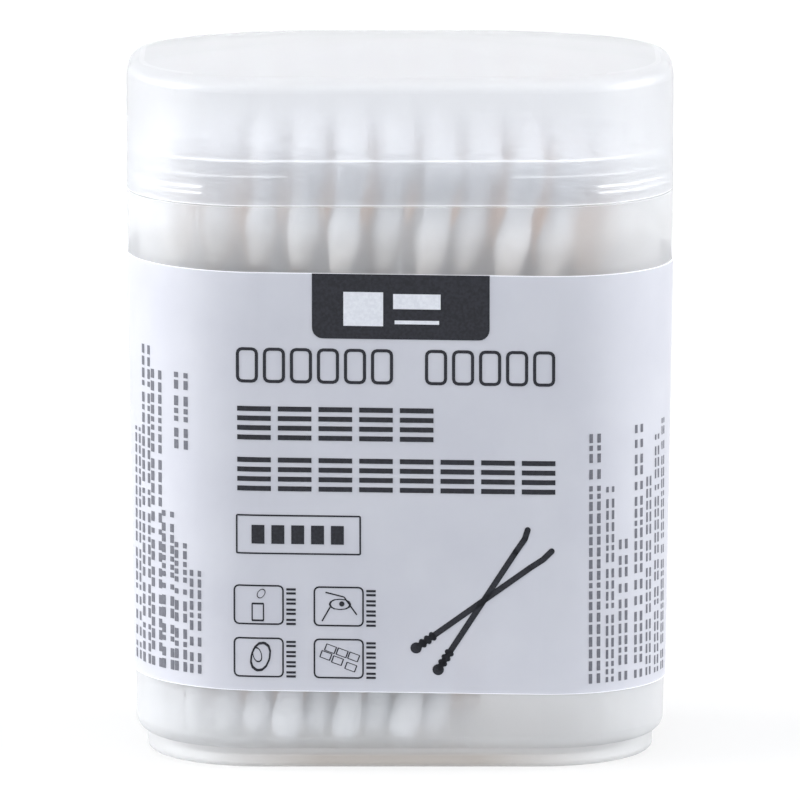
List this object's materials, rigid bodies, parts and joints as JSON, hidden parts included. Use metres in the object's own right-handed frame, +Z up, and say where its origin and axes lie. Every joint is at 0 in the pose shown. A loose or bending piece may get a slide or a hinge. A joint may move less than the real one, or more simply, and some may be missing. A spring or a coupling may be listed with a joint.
{
  "type": "cotton swab tub",
  "caption": "Frosted oval-ended plastic tub with a press-on lid and a wrap-around label, filled with leaning cotton swabs that have a wound head above and a drop head below.",
  "frame": {"origin": "centre of the foot ring's underside, on the surface that the tub stands on", "axes": "+Z up through the lid, -Y out of the labelled front, +X to the right seen from the front"},
  "size_m": [0.0722, 0.0444, 0.0943],
  "materials": {
    "frosted_plastic": "frosted, translucent",
    "label_film": "satin printed film",
    "paper_stick": "dark rolled paper, matt",
    "cotton": "wound cotton, matt"
  },
  "bodies": {
    "tub_body": {"tub": "frosted_plastic", "label": "label_film", "sticks_row_1": "paper_stick", "spiral_heads_row_1": "cotton", "plain_heads_row_1": "cotton", "sticks_row_2": "paper_stick", "spiral_heads_row_2": "cotton", "plain_heads_row_2": "cotton", "sticks_row_3": "paper_stick", "spiral_heads_row_3": "cotton", "plain_heads_row_3": "cotton", "sticks_row_4": "paper_stick", "spiral_heads_row_4": "cotton", "plain_heads_row_4": "cotton", "sticks_row_5": "paper_stick", "spiral_heads_row_5": "cotton", "plain_heads_row_5": "cotton", "sticks_row_6": "paper_stick", "spiral_heads_row_6": "cotton", "plain_heads_row_6": "cotton", "sticks_row_7": "paper_stick", "spiral_heads_row_7": "cotton", "plain_heads_row_7": "cotton", "sticks_row_8": "paper_stick", "spiral_heads_row_8": "cotton", "plain_heads_row_8": "cotton"},
    "lid_body": {"lid": "frosted_plastic"}
  },
  "joints": [
    {"name": "lid_lift", "type": "slide", "parent": "tub_body", "child": "lid_body", "axis": [0, 0, 1], "range_m": [0, 0.03]}
  ]
}
